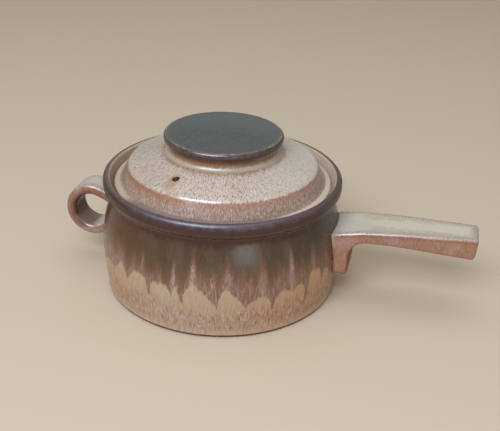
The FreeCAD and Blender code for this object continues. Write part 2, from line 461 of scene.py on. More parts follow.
# The run of the dark upper glaze over the ochre base glaze. Each row of seenDrips is one drip: the angle of
# its tip round the pot, the height of its tip and half its width there, the angle and height of the ochre
# scallop that follows it, and how round the scallop's two sides are (1 is straight, 2 an ellipse). Each row
# of seenStreaks is a thin place in the upper glaze: its angle, how high it reaches, half its width, and how
# pale it is.
runs = {
    "seenDrips": [
        (-146.0, 29.0, 0.5, -139.0, 35.0, 1.8, 1.6), (-133.8, 31.5, 0.5, -127.2, 41.5, 1.4, 1.35),
        (-122.2, 31.5, 0.6, -115.8, 42.6, 1.7, 2.8), (-109.3, 27.8, 0.8, -103.0, 40.3, 4.0, 2.2),
        (-97.7, 32.0, 0.3, -95.8, 41.5, 1.2, 1.1), (-92.8, 27.0, 0.4, -88.0, 44.0, 1.7, 1.15),
        (-77.2, 26.2, 0.4, -72.4, 41.6, 2.2, 1.1), (-64.4, 27.8, 1.4, -57.0, 33.8, 1.5, 2.6),
        (-52.2, 20.0, 0.5, -46.0, 35.2, 2.4, 1.6), (-41.8, 30.5, 0.6, -38.0, 35.4, 1.8, 2.8),
        (-33.6, 18.0, 0.7, -28.0, 42.6, 3.4, 2.8), (-22.8, 27.0, 0.5, -18.6, 38.0, 2.0, 1.6),
    ],
    "seenStreaks": [
        (-127.2, 50.0, 1.6, 0.5), (-113.0, 58.5, 1.5, 0.15), (-96.7, 62.0, 1.5, 0.75),
        (-87.9, 64.0, 1.8, 1.0), (-79.0, 53.0, 1.2, 0.5), (-72.6, 60.0, 1.8, 0.35), (-57.0, 57.0, 2.6, 0.5),
        (-42.5, 68.0, 1.8, 0.9), (-29.2, 60.0, 2.0, 0.35), (-19.0, 56.0, 2.2, 0.4),
    ],
    # The unseen ones: from which angle to which, how many, and the least and most of each value. Places are
    # shares of the way to the next tip, and for streaks degrees from the scallop.
    "unseen": (-13.5, 206.0, 17), "seed": 12,
    "tipPlace": (-0.25, 0.25), "scallopPlace": (0.35, 0.65), "streakPlace": (-1.5, 1.5),
    "drip": [(20.0, 31.0), (0.3, 1.2)], "scallop": [(33.0, 44.0), (1.3, 3.4), (1.1, 2.8)],
    "streak": [(48.0, 64.0), (0.8, 1.9), (0, 1)],
    "tipRounding": 1.6,         # how far a tip's rounded end rises to its sides
    "thickFrom": 48.5,          # height from which the upper glaze is thick and olive
    # How far that height drifts, and dips above the tips; and how far it follows the streaks up
    "thickDrift": 3.5, "tongueDrop": 3.5, "tongueWidth": 2.8, "streakLift": 0.8, "streakSpread": 0.6,
    "streakFoot": 38.0,         # height from which the thin streaks rise
    "streakTaper": (0.8, 0.3), "streakFade": (1.0, 0.45),       # they narrow, and fade out at their top
    "streakBelow": 3.0,         # how far below the edge of the drips they may begin
    # Unevenness of the boundary, the finer part's share and seed, and waves in one turn round the pot
    "ragged": 0.8, "fineShare": 0.6, "fineSeed": 3, "raggedTurns": (41, 67, 97, 131),
    "fineTurns": (171, 229, 307), "driftTurns": (5, 9, 17, 29, 47),
    # Heights between which one glaze turns into the next
    "ochreToTan": (30, 18), "tanToFoot": (10, 2), "oliveToLip": (69.5, 76),
}


# The seen drips and streaks, and after them seeded random ones round the back.
def allRuns():
    random = np.random.default_rng(runs["seed"])
    start, stop, count = runs["unseen"]
    step = (stop - start) / count
    tips = start + step * (np.arange(count) + random.uniform(*runs["tipPlace"], count))
    drips, streaks = list(runs["seenDrips"]), list(runs["seenStreaks"])
    for tip in tips:
        scallop = tip + step * random.uniform(*runs["scallopPlace"])
        drip = [random.uniform(*limits) for limits in runs["drip"]]
        drips.append((tip, *drip, scallop, *(random.uniform(*limits) for limits in runs["scallop"])))
        streak = scallop + random.uniform(*runs["streakPlace"])
        streaks.append((streak, *(random.uniform(*limits) for limits in runs["streak"])))
    return np.array(drips), np.array(streaks)


# Height of the boundary between base and upper glaze. Each tip has a rounded end of its own width, and from
# there a superellipse rises to the scallop's top: tip + (top - tip) (1 - (1 - t) ^ p) ^ (1 / p).
def dripLine(degrees, drips):
    tip, tipHeight, tipHalf, top, topHeight, upPower, downPower = drips.T
    nextTip = np.append(tip[1:], tip[0] + 360)
    angle = (degrees - tip[0]) % 360 + tip[0]
    k = np.clip(np.searchsorted(tip, angle, side="right") - 1, 0, len(tip) - 1)
    rising = angle < top[k]
    near = np.where(rising, k, (k + 1) % len(tip))
    away = np.where(rising, angle - tip[k], nextTip[k] - angle)
    reach = np.where(rising, top[k] - tip[k], nextTip[k] - top[k])
    half = tipHalf[near]
    low = tipHeight[near] + runs["tipRounding"] * np.minimum(away / half, 1) ** 2
    t = np.clip((away - half) / (reach - half), 0, 1)
    power = np.where(rising, upPower[k], downPower[k])
    return low + (topHeight[k] - low) * (1 - (1 - t) ** power) ** (1 / power)


# A bump round each angle of a list: the sum of size exp(-(d / width)^2).
def bumps(degrees, centres, sizes, widths):
    gap = (degrees[:, None] - centres + 180) % 360 - 180
    return (sizes * np.exp(-(gap / widths) ** 2)).sum(1)


# How pale the thin streaks make each point. A streak narrows as it rises and fades out below its top.
def streakPaleness(degrees, height, streaks):
    total = 0 * height
    for centre, top, width, paleness in streaks:
        gap = (degrees - centre + 180) % 360 - 180
        climb = np.clip((height - runs["streakFoot"]) / (top - runs["streakFoot"]), 0, 1)
        narrowed = width * np.interp(climb, (0, 1), runs["streakTaper"])
        shape = np.exp(-(gap / narrowed) ** 2) * rise(climb, *runs["streakFade"])
        total = np.maximum(total, paleness * shape)
    return total


# Fields in mm: how far above the edge of the drips, and above the foot of the thick olive glaze. And how
# pale the streaks are.
def makePotFields(angles, grid):
    degrees = np.degrees(angles)
    drips, streaks = allRuns()
    height = grid[..., 2]
    ragged = wobble(angles, 0, runs["seed"] + 1, runs["raggedTurns"])
    ragged = ragged + runs["fineShare"] * wobble(angles, 0, runs["fineSeed"], runs["fineTurns"])
    edge = height - dripLine(degrees, drips) - runs["ragged"] * ragged
    centres, tops, widths = streaks.T[:3]
    tongues = runs["tongueDrop"] * bumps(degrees, drips[:, 0], 1 + 0 * drips[:, 0], runs["tongueWidth"])
    lift = bumps(degrees, centres, runs["streakLift"] * (tops - runs["thickFrom"]),
                 runs["streakSpread"] * widths)
    drift = runs["thickDrift"] * wobble(angles, 0, runs["seed"], runs["driftTurns"])
    return {"dripEdge": edge, "oliveEdge": height - (runs["thickFrom"] - tongues + lift + drift),
            "paleStreak": streakPaleness(degrees, height, streaks) * (edge > -runs["streakBelow"])}


def makePot(material):
    angles = turnAngles(pot)
    fields = makePotFields(angles, turnedGrid(potPoints, angles))
    along = fields["along"] = potAlong[:, None] + 0 * angles
    outside = rise(along - footAlong, *pot["footFade"]) * rise(along - neckAlong, *pot["neckFade"])
    inside = rise(along - mouthAlong, *pot["mouthFade"]) * rise(along - potAlong[-1], *pot["middleFade"])
    throwing = np.sin(2 * np.pi * along / pot["throwingPitch"] - angles)
    relief = pot["wobble"] * wobble(angles, along, pot["wobbleSeed"]) * np.maximum(outside, inside)
    relief += pot["glazeStep"] * rise(fields["dripEdge"], *pot["stepWidth"]) * outside
    relief -= (pot["wobble"] + pot["glazeStep"]) * outside
    relief += pot["throwingDepth"] * throwing * inside
    points, faces, fields = poledGrid(turnedGrid(potPoints, angles, relief), fields)
    makePiece("pot_body", points, faces, fields, material, "pot", "bowl")


glaze.update({
    "mauve": "7f5b4c", "mauvePale": "ae968d", "pinkBrown": "7d5b48", "rustStreak": "6c4d38",
    "rustColumn": "745039", "olive": "4d3b2b", "oliveGrey": "594c3d", "oliveWarm": "543519",
    "streakPale": "bbaaa1", "streakRusty": "a97c5a", "lipRed": "41221a", "neckDark": "3a3229",
    "rimDark": "412824", "rimDarkLeft": "35201a", "rimBlue": "46383b", "rimGrey": "6a5a50",
    "rimRed": "584442", "rimHaze": "565264", "rimFarLeft": "8c7868", "rimFarRight": "5b4436",
    "rimLine": "94705f", "rimUnderBounce": "5a443a", "rimUnderBounceLeft": "745544", "cream": "c2b39c",
    "insideRight": "b9ad9c",
})


def makePotGlaze():
    material, shader = newMaterial("potGlaze")
    along, edge, olive = field("along"), field("dripEdge"), field("oliveEdge")
    across, depth, height = split(place())
    broad, streak = noise(9.0, 3.0, 0.55, (1, 1, 0.04)), noise(2.6, 4.0, 0.6, (1, 1, 0.04))
    fine, jag = noise(1.0, 3.0, 0.6, (1, 1, 0.09)), noise(1.3, stretch=(1, 1, 0.2))
    cloud = noise(24.0)

    def toSide(low, high):
        return fade(shake(across, cloud, 30), low, high)

    toLeft, toRight = toSide(-28, -68), toSide(5, 80)
    # Base glaze: tan with dashes low down, ochre where it meets the upper glaze. The ochre turns warmer
    # towards the right, painted warm bounce light, and a little warmer towards the left
    browns = dashes(1.0, 0.46, 0.68, (1, 1, 0.13))
    pales = dashes(0.95, 0.46, 0.68, (1, 1, 0.13), (31, 7, 4))
    tan = coats("tan", ("tanWarm", calc("MAXIMUM", toLeft, toRight), 0.9),
                ("ochre", fade(broad, 0.5, 0.68), 0.35), ("dashBrown", browns, 0.7),
                ("dashPale", pales, 0.7))
    ochre = coats("ochre", ("ochreWarm", calc("MAXIMUM", toRight, times(toLeft, 0.6))),
                  ("dashBrown", browns, 0.22), ("dashPale", fade(fine, 0.45, 0.65), 0.25))
    base = coats(ochre, (tan, fade(shake(height, cloud, 22, streak, 18, fine, 8), *runs["ochreToTan"])),
                 ("footGlaze", fade(shake(height, fine, 6), *runs["tanToFoot"]), 0.6))
    # Upper glaze: mauve with pale hairs at its fringe, rusty above, and olive where it is thick
    thickness = shake(olive, streak, 22, fine, 12)
    hairs = dashes(0.55, 0.46, 0.64, (1, 1, 0.06), (3, 50, 9))
    thick = coats("olive", ("oliveGrey", fade(broad, 0.42, 0.64)),
                  ("rustStreak", fade(streak, 0.52, 0.7), 0.4), ("oliveWarm", toSide(0, -60), 0.9))
    upper = coats("mauve", ("mauvePale", hairs, 0.6), ("pinkBrown", fade(thickness, -9, 1)),
                  ("mauvePale", hairs, fade(thickness, 5, -6), 0.4), ("rustStreak", fade(thickness, -4, 5)),
                  ("rust", toRight, fade(thickness, 4, -3), 0.35),
                  ("rustColumn", fade(streak, 0.5, 0.62), fade(thickness, -6, -1),
                   fade(thickness, 9, 2), 0.5),
                  (thick, fade(thickness, 0, 14)))
    # On it the thin pale streaks, the red lip under the rim, and a dark place by the stick handle
    wispy = calc("ADD", 0.35, times(hairs, 0.65))
    streakTone = mix(fade(shake(across, cloud, 8), 66, 76), "streakPale", "streakRusty")
    upper = coats(upper, (streakTone, field("paleStreak"), fade(fine, 0.3, 0.55), wispy),
                  ("lipRed", fade(shake(height, streak, 12, cloud, 8), *runs["oliveToLip"])),
                  ("neckDark", fade(across, 66, 80), fade(height, 60, 68), 0.6))
    wall = mix(fade(shake(edge, jag, 5, fine, 8), -0.9, 0.9), base, upper)
    # Rolled rim: dark brown, with a broken bluish top that is painted sheen over the glaze, greyer to the
    # left and pale along its far side
    overRoll, patches = noise(1.3, 4.0, 0.65, (1, 1, 0.3)), noise(5.0, 3.0, 0.6, (1, 1, 0.5))
    lowered = calc("ADD", times(toSide(-20, -60), -2.6), shake(along, patches, 5, overRoll, 4))
    # The roll's top, where the bluish sheen is painted
    sheenTop = fade(lowered, -4.5, 0.5, rimTopAlong)
    sheenTone = coats("rimBlue", ("rimGrey", toSide(-20, -75)), ("rimRed", toSide(10, 45)))
    farTone = mix(fade(across, -20, 30), "rimFarLeft", "rimFarRight")
    rim = coats("rimDark", ("rimDarkLeft", toSide(-20, -70)), (sheenTone, sheenTop),
                ("rimHaze", sheenTop, fade(patches, 0.42, 0.6), toSide(-60, -35), toSide(110, 50), 0.72),
                ("rimDark", fade(overRoll, 0.46, 0.62), 0.4),
                (farTone, fade(shake(depth, cloud, 20), 15, 55), 0.8))
    # Under the roll, a brown crease painted lighter than its shade, as painted bounce light from below, and
    # a thin pale line
    underBounceTone = mix(toSide(0, -55), "rimUnderBounce", "rimUnderBounceLeft")
    ragged = shake(along, fine, 1.2)
    colour = coats(wall, (rim, fade(shake(along, fine, 3), -4, 1, rimLowAlong)),
                   (underBounceTone, fade(along, -1.5, 2.5, neckAlong), fade(along, 2.2, -0.6, rimLowAlong)),
                   ("rimLine", fade(ragged, -2.6, -2.0, rimLowAlong), fade(ragged, -0.6, -1.4, rimLowAlong),
                    toSide(25, -40), 0.75))
    # The rim's cream inner edge, the recess and the inside, and the foot's dark edge, part bare clay and
    # part painted contact shadow, and the bare clay under it
    speck = dashes(1.6, 0.52, 0.62)
    recess = coats("inside", ("insideRight", toSide(-30, 50)), ("dashBrown", speck, 0.3))
    colour = coats(colour, ("cream", fade(shake(along, jag, 0.8), -0.4, 0.2, rimMouthAlong)),
                   (recess, fade(shake(along, jag, 1.0), 1.1, 2.1, rimMouthAlong)),
                   ("footEdge", fade(shake(along, jag, 0.6), 2.2, 1.6, footAlong)),
                   (mix(speck, "clay", "footLine"), fade(shake(along, jag, 0.8), -0.6, -1.4, footAlong)))
    # The roll is duller than the wall, where the glaze ran thin over it, and the crease is smooth
    dull = times(fade(along, rimLowAlong, rimTopAlong - 2), shake(0.7, overRoll, 3), 0.16)
    finishGlaze(shader, colour, calc("ADD", dull, 0.27), 0.14, 0.05,
                times(overRoll, fade(along, rimLowAlong, rimTopAlong), 1.2),
                calc("MAXIMUM", fade(along, 1, -2, neckAlong), fade(along, 0, 2, rimLowAlong)))
    return material


# Lid

lid = {
    "wall": 5.6, "flangeThickness": 3.5, "flangeRise": 0.8, "flangeRounding": 1.3, "seatRounding": 0.8,
    "bandFoot": lidFlange - 4.4, "bandFootRounding": 1.8,
    "shoulderRadius": lidFlange - 11.0, "shoulderHeight": 99.3, "shoulderRounding": 5.0,
    "coneHeight": 109.5, "waistRadius": 40.6, "waistFootRounding": 4.0, "waistWall": 5.4,
    "collarRadius": lidFlange - 4.9, "collarWall": 4.8, "collarDepth": 5.0, "collarRounding": 1.5,
    "innerRounding": 3.0, "seam": 113.2,
    "ventRadius": 2.4, "ventReach": 56.3, "ventAngle": -111.6, "ventEdge": 0.9,
    "bandFade": (0, 4), "waistFade": (0, -6),       # where the unevenness begins and ends
    "ventSteps": (7, 6, 5),               # rings down to the edge of the hole, over it, and down the bore
    "runShift": 3.6, "runLength": 10.5, "runWidth": 6.0,    # the brown run below the vent
    "ventRows": 3, "ventColumns": 8,      # half the size of the window that is cut for the vent
    "columns": 600, "wobble": 0.1, "wobbleSeed": 9,
}
coneFall = (lid["coneHeight"] - lid["shoulderHeight"]) / (lid["shoulderRadius"] - lid["waistRadius"])


def lidOutline():
    wall, collar, rounding = lid["wall"], lid["collarRadius"], lid["innerRounding"]
    flangeTop = ledgeHeight + lid["flangeThickness"]
    bandFootHeight = flangeTop + lid["flangeRise"]
    collarBottom = ledgeHeight - lid["collarDepth"]
    bandLean = (lid["bandFoot"] - lid["shoulderRadius"]) / (lid["shoulderHeight"] - bandFootHeight)
    innerBand = lid["bandFoot"] - wall * math.hypot(1, bandLean)
    innerCone = lid["coneHeight"] - wall * math.hypot(1, coneFall) + coneFall * lid["waistRadius"]
    innerWaist = lid["waistRadius"] - lid["waistWall"]
    collarInner = collar - lid["collarWall"]
    climb = (innerCone - bandFootHeight - coneFall * innerBand) / (1 - coneFall * bandLean)
    return roundedOutline([
        (innerWaist, lid["seam"], 0), (innerWaist, innerCone - coneFall * innerWaist, rounding),
        (innerBand - bandLean * climb, bandFootHeight + climb, rounding),
        (collarInner, bandFootHeight + (innerBand - collarInner) / bandLean, rounding),
        (collarInner, collarBottom, lid["collarRounding"]), (collar, collarBottom, lid["collarRounding"]),
        (collar, ledgeHeight, 0), (lidFlange, ledgeHeight, lid["seatRounding"]),
        (lidFlange, flangeTop, lid["flangeRounding"]),
        (lid["bandFoot"], bandFootHeight, lid["bandFootRounding"]),
        (lid["shoulderRadius"], lid["shoulderHeight"], lid["shoulderRounding"]),
        (lid["waistRadius"], lid["coneHeight"], lid["waistFootRounding"]),
        (lid["waistRadius"], lid["seam"], 0),
    ], closed=True)


lidPoints, lidAlong, lidMarks = lidOutline()
innerConeAlong, innerShoulderAlong = lidMarks[1:3]
flangeAlong, bandFootAlong, shoulderAlong, waistFootAlong = lidMarks[8:12]


# The row and column in the middle of the vent's window, on the outline between two marks.
def ventWindow(start, stop, angles):
    away = abs(lidPoints[:, 0] - lid["ventReach"])
    middle = int(np.where((lidAlong > start) & (lidAlong < stop), away, np.inf).argmin())
    return middle, int(round((math.radians(lid["ventAngle"]) % (2 * np.pi)) / (angles[1] - angles[0])))


# The steam hole. From the edge of a window in the outer face, rings close in on the hole's edge, roll over
# it on a quarter circle, run down the bore and open out again to a window in the inner face.
def ventRings(grid, outer, inner):
    angle = math.radians(lid["ventAngle"])
    radial = np.array([math.cos(angle), math.sin(angle), 0])
    sideways = np.array([-math.sin(angle), math.cos(angle), 0])
    outward = (radial * coneFall + [0, 0, 1]) / math.hypot(1, coneFall)
    downhill = np.cross(sideways, outward)
    rows, columns = lid["ventRows"], lid["ventColumns"]
    closingSteps, edgeSteps, boreSteps = lid["ventSteps"]
    i, j = np.meshgrid(np.arange(-rows, rows + 1), np.arange(-columns, columns + 1), indexing="ij")
    border = (abs(i) == rows) | (abs(j) == columns)
    sides, top = [], None
    for (middle, turn), sign in ((outer, 1), (inner, -1)):
        loop = grid[middle + i[border], turn + j[border]]
        slope = lidPoints[middle + 1] - lidPoints[middle - 1]
        level = lidPoints[middle, 1] + (lid["ventReach"] - lidPoints[middle, 0]) * slope[1] / slope[0]
        spot = radial * lid["ventReach"] + [0, 0, level]
        top = spot if top is None else top
        spot = top - outward * ((top - spot) @ outward)
        bearing = np.arctan2((loop - spot) @ sideways, (loop - spot) @ downhill)
        order = np.argsort(bearing)
        loop, bearing = loop[order], bearing[order]
        circle = np.cos(bearing)[:, None] * downhill + np.sin(bearing)[:, None] * sideways
        lip = spot + circle * (lid["ventRadius"] + lid["ventEdge"])
        closing = loop + (lip - loop) * np.linspace(0, 1, closingSteps)[:, None, None]
        turnOver = np.linspace(0, np.pi / 2, edgeSteps)[1:, None, None]
        sunk = sign * outward * (1 - np.cos(turnOver))
        sides.append(np.concatenate([closing, lip - lid["ventEdge"] * (circle * np.sin(turnOver) + sunk)]))
    down = np.linspace(0, 1, boreSteps)[1:-1, None, None]
    bore = sides[0][-1] + (sides[1][-1] - sides[0][-1]) * down
    return np.concatenate([sides[0], bore, sides[1][::-1]])


def makeLid(material):
    angles = turnAngles(lid)
    along = lidAlong[:, None] + 0 * angles
    shown = rise(along - bandFootAlong, *lid["bandFade"]) * rise(along - waistFootAlong, *lid["waistFade"])
    relief = lid["wobble"] * wobble(angles, along, lid["wobbleSeed"]) * shown
    grid = turnedGrid(lidPoints, angles, relief, closed=True)
    windows = (ventWindow(shoulderAlong, waistFootAlong, angles),
               ventWindow(innerConeAlong, innerShoulderAlong, angles))
    rings = ventRings(grid, *windows)
    keep = np.ones(grid.shape[:2], bool)
    rows, columns = lid["ventRows"], lid["ventColumns"]
    for middle, turn in windows:
        keep[middle - rows:middle + rows, turn - columns:turn + columns] = False
    faces = np.concatenate([gridFaces(*grid.shape[:2], ring=True)[keep.ravel()],
                            gridFaces(*rings.shape[:2]) + grid.shape[0] * grid.shape[1]])
    points = np.concatenate([grid.reshape(-1, 3), rings.reshape(-1, 3)])
    # The vent's rings take over the outline's place at their window, and are marked as the bore further in
    number = np.arange(len(rings))
    ringAlong = np.where(number < len(rings) // 2, lidAlong[windows[0][0]], lidAlong[windows[1][0]])
    boreFrom = lid["ventSteps"][0] - 1
    inBore = rise(np.minimum(number, number[::-1]), boreFrom, boreFrom + lid["ventSteps"][1] - 1)
    fields = {"along": np.concatenate([along.ravel(), np.repeat(ringAlong, rings.shape[1])]),
              "bore": np.concatenate([0 * along.ravel(), np.repeat(inBore, rings.shape[1])])}
    makePiece("lid_shell", points, faces, fields, material, "lid", "lid_cover")


glaze.update({
    "oat": "bfb1a1", "oatDash": "85685a", "oatPale": "d6cbbd", "oatGrey": "a8948f", "oatFar": "d3cebd",
    "oatRight": "d2c9be", "bandRust": "ab8573", "bandRustLeft": "a0724f", "bandLow": "9c8174",
    "bandLowLeft": "a08674", "bandDash": "7f5c4b", "bandPale": "c9bbae", "bandFarLeft": "a08676",
    "flange": "c0b29f", "flangeLeft": "a3947d", "crease": "6f5449", "neckRing": "9a735b",
    "neckCream": "b9a993", "waistLow": "8d6a50", "waistRight": "8f8468", "ventRun": "a87d62",
    "ventEdge": "9a7050", "ventBore": "6f5040",
})


# The glaze inside, with its brown specks.
def insideTone():
    return coats("inside", ("dashBrown", dashes(1.6, 0.52, 0.62), 0.35))


# How far a point lies into the oval run of brown glaze below the steam hole: 0 at its middle, 1 at its edge.
def ventDistance():
    angle = math.radians(lid["ventAngle"])
    level = lid["coneHeight"] - coneFall * (lid["ventReach"] - lid["waistRadius"])
    centred = place(shift=(-lid["ventReach"] * math.cos(angle), -lid["ventReach"] * math.sin(angle), -level))
    turned = newNode("VectorRotate", centred, rotation_type="Z_AXIS")
    turned.inputs["Angle"].default_value = -angle
    out, side = split(turned.outputs["Vector"])[:2]
    downhill = calc("DIVIDE", calc("SUBTRACT", out, lid["runShift"]), lid["runLength"])
    sideways = calc("DIVIDE", side, lid["runWidth"])
    return calc("SQRT", calc("ADD", times(downhill, downhill), times(sideways, sideways)))


def makeLidGlaze():
    material, shader = newMaterial("lidGlaze")
    along, bore = field("along"), field("bore")
    x, y = split(place())[:2]
    outwards = ringed(56.0, 0.2)
    jag, cloud = texture(outwards, 1 / 1.2), noise(26.0, shift=(5, 40, 0))
    runDown = noise(1.2, stretch=(1, 1, 0.2))
    browns = dashes(0.62, 0.46, 0.6, vector=outwards)
    pales = dashes(0.62, 0.47, 0.62, vector=ringed(61.0, 0.16, 90))
    # Cone: oatmeal with dashes that run outwards, paler and greener on its far side
    cone = coats("oat", ("oatDash", browns, 0.9), ("oatPale", pales, 0.6),
                 ("oatGrey", fade(cloud, 0.45, 0.65), 0.2),
                 ("oatFar", fade(shake(y, cloud, 20), -10, 50), 0.55),
                 ("oatRight", fade(shake(x, cloud, 20), 20, 60), 0.35))
    # Band: rust under the shoulder, paler and streaked below, and orange on the left
    toLeft = fade(shake(x, cloud, 30), 5, -50)
    band = mix(fade(shake(along, jag, 12, cloud, 8), -8, -3, shoulderAlong),
               mix(toLeft, "bandLow", "bandLowLeft"), mix(toLeft, "bandRust", "bandRustLeft"))
    band = coats(band, ("bandDash", browns, 0.6),
                 ("bandPale", pales, 0.6, fade(shake(along, jag, 6), -2, -7, shoulderAlong)),
                 ("bandFarLeft", toLeft, fade(shake(y, cloud, 20), -35, -10), 0.8))
    # Flange: pale, and in front coloured like the band and darkened with painted shade
    front = fade(shake(y, cloud, 24), -50, -66)
    flange = coats("flange", ("dashBrown", browns, 0.2), ("flangeLeft", toLeft, 0.6), (band, front, 0.85),
                   ("crease", front, 0.6))
    # Neck: a broken brown ring, a cream fillet and a rusty waist
    waist = coats("waistLow", ("rust", fade(shake(along, runDown, 3), 2.2, 4.5, waistFootAlong)),
                  ("waistRight", fade(shake(x, cloud, 20), 24, 42), 0.85))
    colour = mix(fade(shake(along, jag, 3.0), -1.7, -0.2, shoulderAlong), band, cone)
    colour = coats(colour, (flange, fade(shake(along, jag, 2.0), 0.2, -0.9, bandFootAlong)),
                   # In front, painted shade darkens the crease at the band's foot
                   ("crease", front, fade(along, 2.8, 0.6, bandFootAlong), 0.7),
                   ("neckRing", fade(shake(along, jag, 7), -7, -4.4, waistFootAlong),
                    fade(shake(jag, cloud, 0.5), 0.3, 0.52), 0.7),
                   ("neckCream", fade(shake(along, jag, 1.6), -3.2, -2.3, waistFootAlong)),
                   (waist, fade(shake(along, runDown, 3.5), -0.4, 1.8, waistFootAlong)))
    # Underside, and the steam hole with its thin edge and brown run
    smear = times(fade(shake(ventDistance(), jag, 0.9), 1.05, 0.35), fade(along, 0, 1, flangeAlong))
    colour = coats(colour, (insideTone(), fade(along, -0.5, -1.5, flangeAlong)), ("ventRun", smear, 0.72),
                   ("ventEdge", fade(bore, 0.02, 0.25)), ("ventBore", fade(bore, 0.3, 0.75)))
    # The dashes are sunk a little, but not on the shoulder, and the crease is matt
    fromShoulder = calc("ABSOLUTE", calc("SUBTRACT", along, shoulderAlong))
    matt = times(fade(along, 3, 1, bandFootAlong), 0.6)
    sunk = times(browns, -0.5, fade(fromShoulder, 2, 5))
    finishGlaze(shader, colour, calc("ADD", matt, 0.19), 0.12, 0.05, sunk)
    return material


# Knob

knob = {
    "radius": 44.9, "thickness": 6.0, "rimHeight": knobTop - 5.7,
    "upperRounding": 2.6, "lowerRounding": 2.4, "throatRounding": 2.0,
    "columns": 480, "wobble": 0.16, "wobbleSeed": 21, "topFade": (6, 0),
}


def knobOutline():
    innerWaist, under = lid["waistRadius"] - lid["waistWall"], knobTop - knob["thickness"]
    return roundedOutline([
        (0, under, 0), (innerWaist, under, lid["innerRounding"]), (innerWaist, lid["seam"], 0),
        (lid["waistRadius"], lid["seam"], 0),
        (lid["waistRadius"], knob["rimHeight"], knob["throatRounding"]),
        (knob["radius"], knob["rimHeight"], knob["lowerRounding"]),
        (knob["radius"], knobTop, knob["upperRounding"]), (0, knobTop, 0),
    ])


knobPoints, knobAlong, knobMarks = knobOutline()
knobSeamAlong, throatAlong, knobLowAlong, knobTopAlong = knobMarks[3:7]


def makeKnob(material):
    angles = turnAngles(knob)
    along = knobAlong[:, None] + 0 * angles
    shown = rise(along, throatAlong, knobLowAlong) * rise(along - knobTopAlong, *knob["topFade"])
    relief = -knob["wobble"] * (0.5 + 0.5 * wobble(angles, along, knob["wobbleSeed"])) * shown
    points, faces, fields = poledGrid(turnedGrid(knobPoints, angles, relief), {"along": along})
    makePiece("knob_disc", points, faces, fields, material, "lid", "lid_knob")


glaze.update({
    "knobTop": "474a48", "knobTopLight": "535756", "knobFar": "5c6262", "knobCloud": "5a5a50",
    "knobFleck": "8b8873", "knobBrown": "574c42", "knobEdge": "49373a", "knobEdgeLight": "57474a",
    "knobEdgeLow": "402a23", "knobEdgeLeft": "55443a", "knobWorn": "6d6c5e", "knobSpeck": "a39c86",
    "knobWaist": "6b4633",
})


def makeKnobGlaze():
    material, shader = newMaterial("knobGlaze")
    along = field("along")
    x, y = split(place())[:2]
    mottle, cloud, jag = noise(3.0, 4.0, 0.65), noise(18.0, 3.0), noise(1.1)
    fromTop = calc("SUBTRACT", along, knobTopAlong)
    # Top: satin dark grey-green, browner towards its edge
    top = coats(mix(fade(mottle, 0.36, 0.64), "knobTop", "knobTopLight"),
                ("knobFar", fade(shake(y, cloud, 20), -12, 30), 0.7),
                ("knobCloud", fade(cloud, 0.45, 0.7), 0.35),
                ("knobFleck", fade(noise(0.8, 1.0), 0.68, 0.74), 0.6),
                ("knobBrown", fade(shake(fromTop, mottle, 6), 6, 2), 0.55))
    # Edge: purple-brown, with a broken line of pale specks above it
    edge = coats(mix(fade(mottle, 0.4, 0.6), "knobEdge", "knobEdgeLight"),
                 ("knobEdgeLow", fade(shake(along, jag, 1.0), 2.4, 0.4, knobLowAlong)),
                 ("knobEdgeLeft", fade(shake(x, cloud, 12), -14, -34), 0.75))
    specks = fade(shake(noise(1.6), cloud, 0.5), 0.52, 0.62)
    waist = coats(mix(fade(noise(1.2, stretch=(1, 1, 0.2)), 0.4, 0.6), "rust", "knobWaist"),
                  ("waistRight", fade(shake(x, cloud, 20), 24, 42), 0.85))
    colour = coats(mix(fade(shake(fromTop, jag, 1.4), 0.4, 1.4), edge, top),
                   ("knobWorn", fade(shake(fromTop, mottle, 1.5), 0.2, 1.2),
                    fade(shake(fromTop, mottle, 3), 4.5, 1.5), 0.4),
                   ("knobSpeck", fade(fromTop, 0.4, 1.0), fade(shake(fromTop, jag, 2), 2.4, 1.2),
                    specks, 0.7),
                   (waist, fade(shake(along, jag, 0.8), 0.2, -1.2, knobLowAlong)),
                   (insideTone(), fade(along, -1, -2, knobSeamAlong)))
    matt = times(fade(fromTop, 0.2, 2.5), 0.15)
    finishGlaze(shader, colour, calc("ADD", 0.26, matt), 0.12, 0.05)
    return material


# Handles

handles = {
    "rootTop": 59.0, "bendReach": 118.0, "bendTop": 64.5, "bendRounding": 380.0,
    "endTop": 66.7, "endBottom": 49.8,
    "endLean": 1.4, "leanLength": 40.0,         # how far the end's top leans out, and over what length
    "underReach": 134.0, "underTop": 54.3, "underRounding": 150.0,
    "rootHalfWidth": 20.0, "endHalfWidth": 13.4, "edgeRounding": 2.4, "endRounding": 3.0,
    "legReach": 101.6, "legBottom": 24.4, "legRounding": 12.5, "tongueRounding": 7.0,
    "sunk": 1.4, "legDeeper": 3.0,          # how far the root reaches into the wall, and the leg past it
    "rootRounding": 1.2,        # the rounded edge where the root meets the wall
    "loopHeight": 47.0, "loopRadius": 21.5, "loopThickness": 8.0, "loopWidth": 23.6, "loopRounding": 3.4,
    "upperBend": 113.0, "lowerBend": 128.0,     # how far the loop bends up and down from its outermost point
    "straightEnd": 13.5, "loopSunk": 4.0,       # its straight ends, and how deep they lie in the wall
    "flare": 0.5, "flareReach": (-1.0, 6.0), "edgeSlope": 1.5,
    # Steps of the mesh: round the section, along the handles in mm, round their ends, and the loop's bend
    "acrossSteps": 16, "sideSteps": 6, "cornerSteps": 6, "longestStep": 1.2, "capShares": (0, 0.33, 0.66),
    "endSteps": 8, "tongueSteps": 5, "bendSteps": 150, "straightSteps": 14,
}


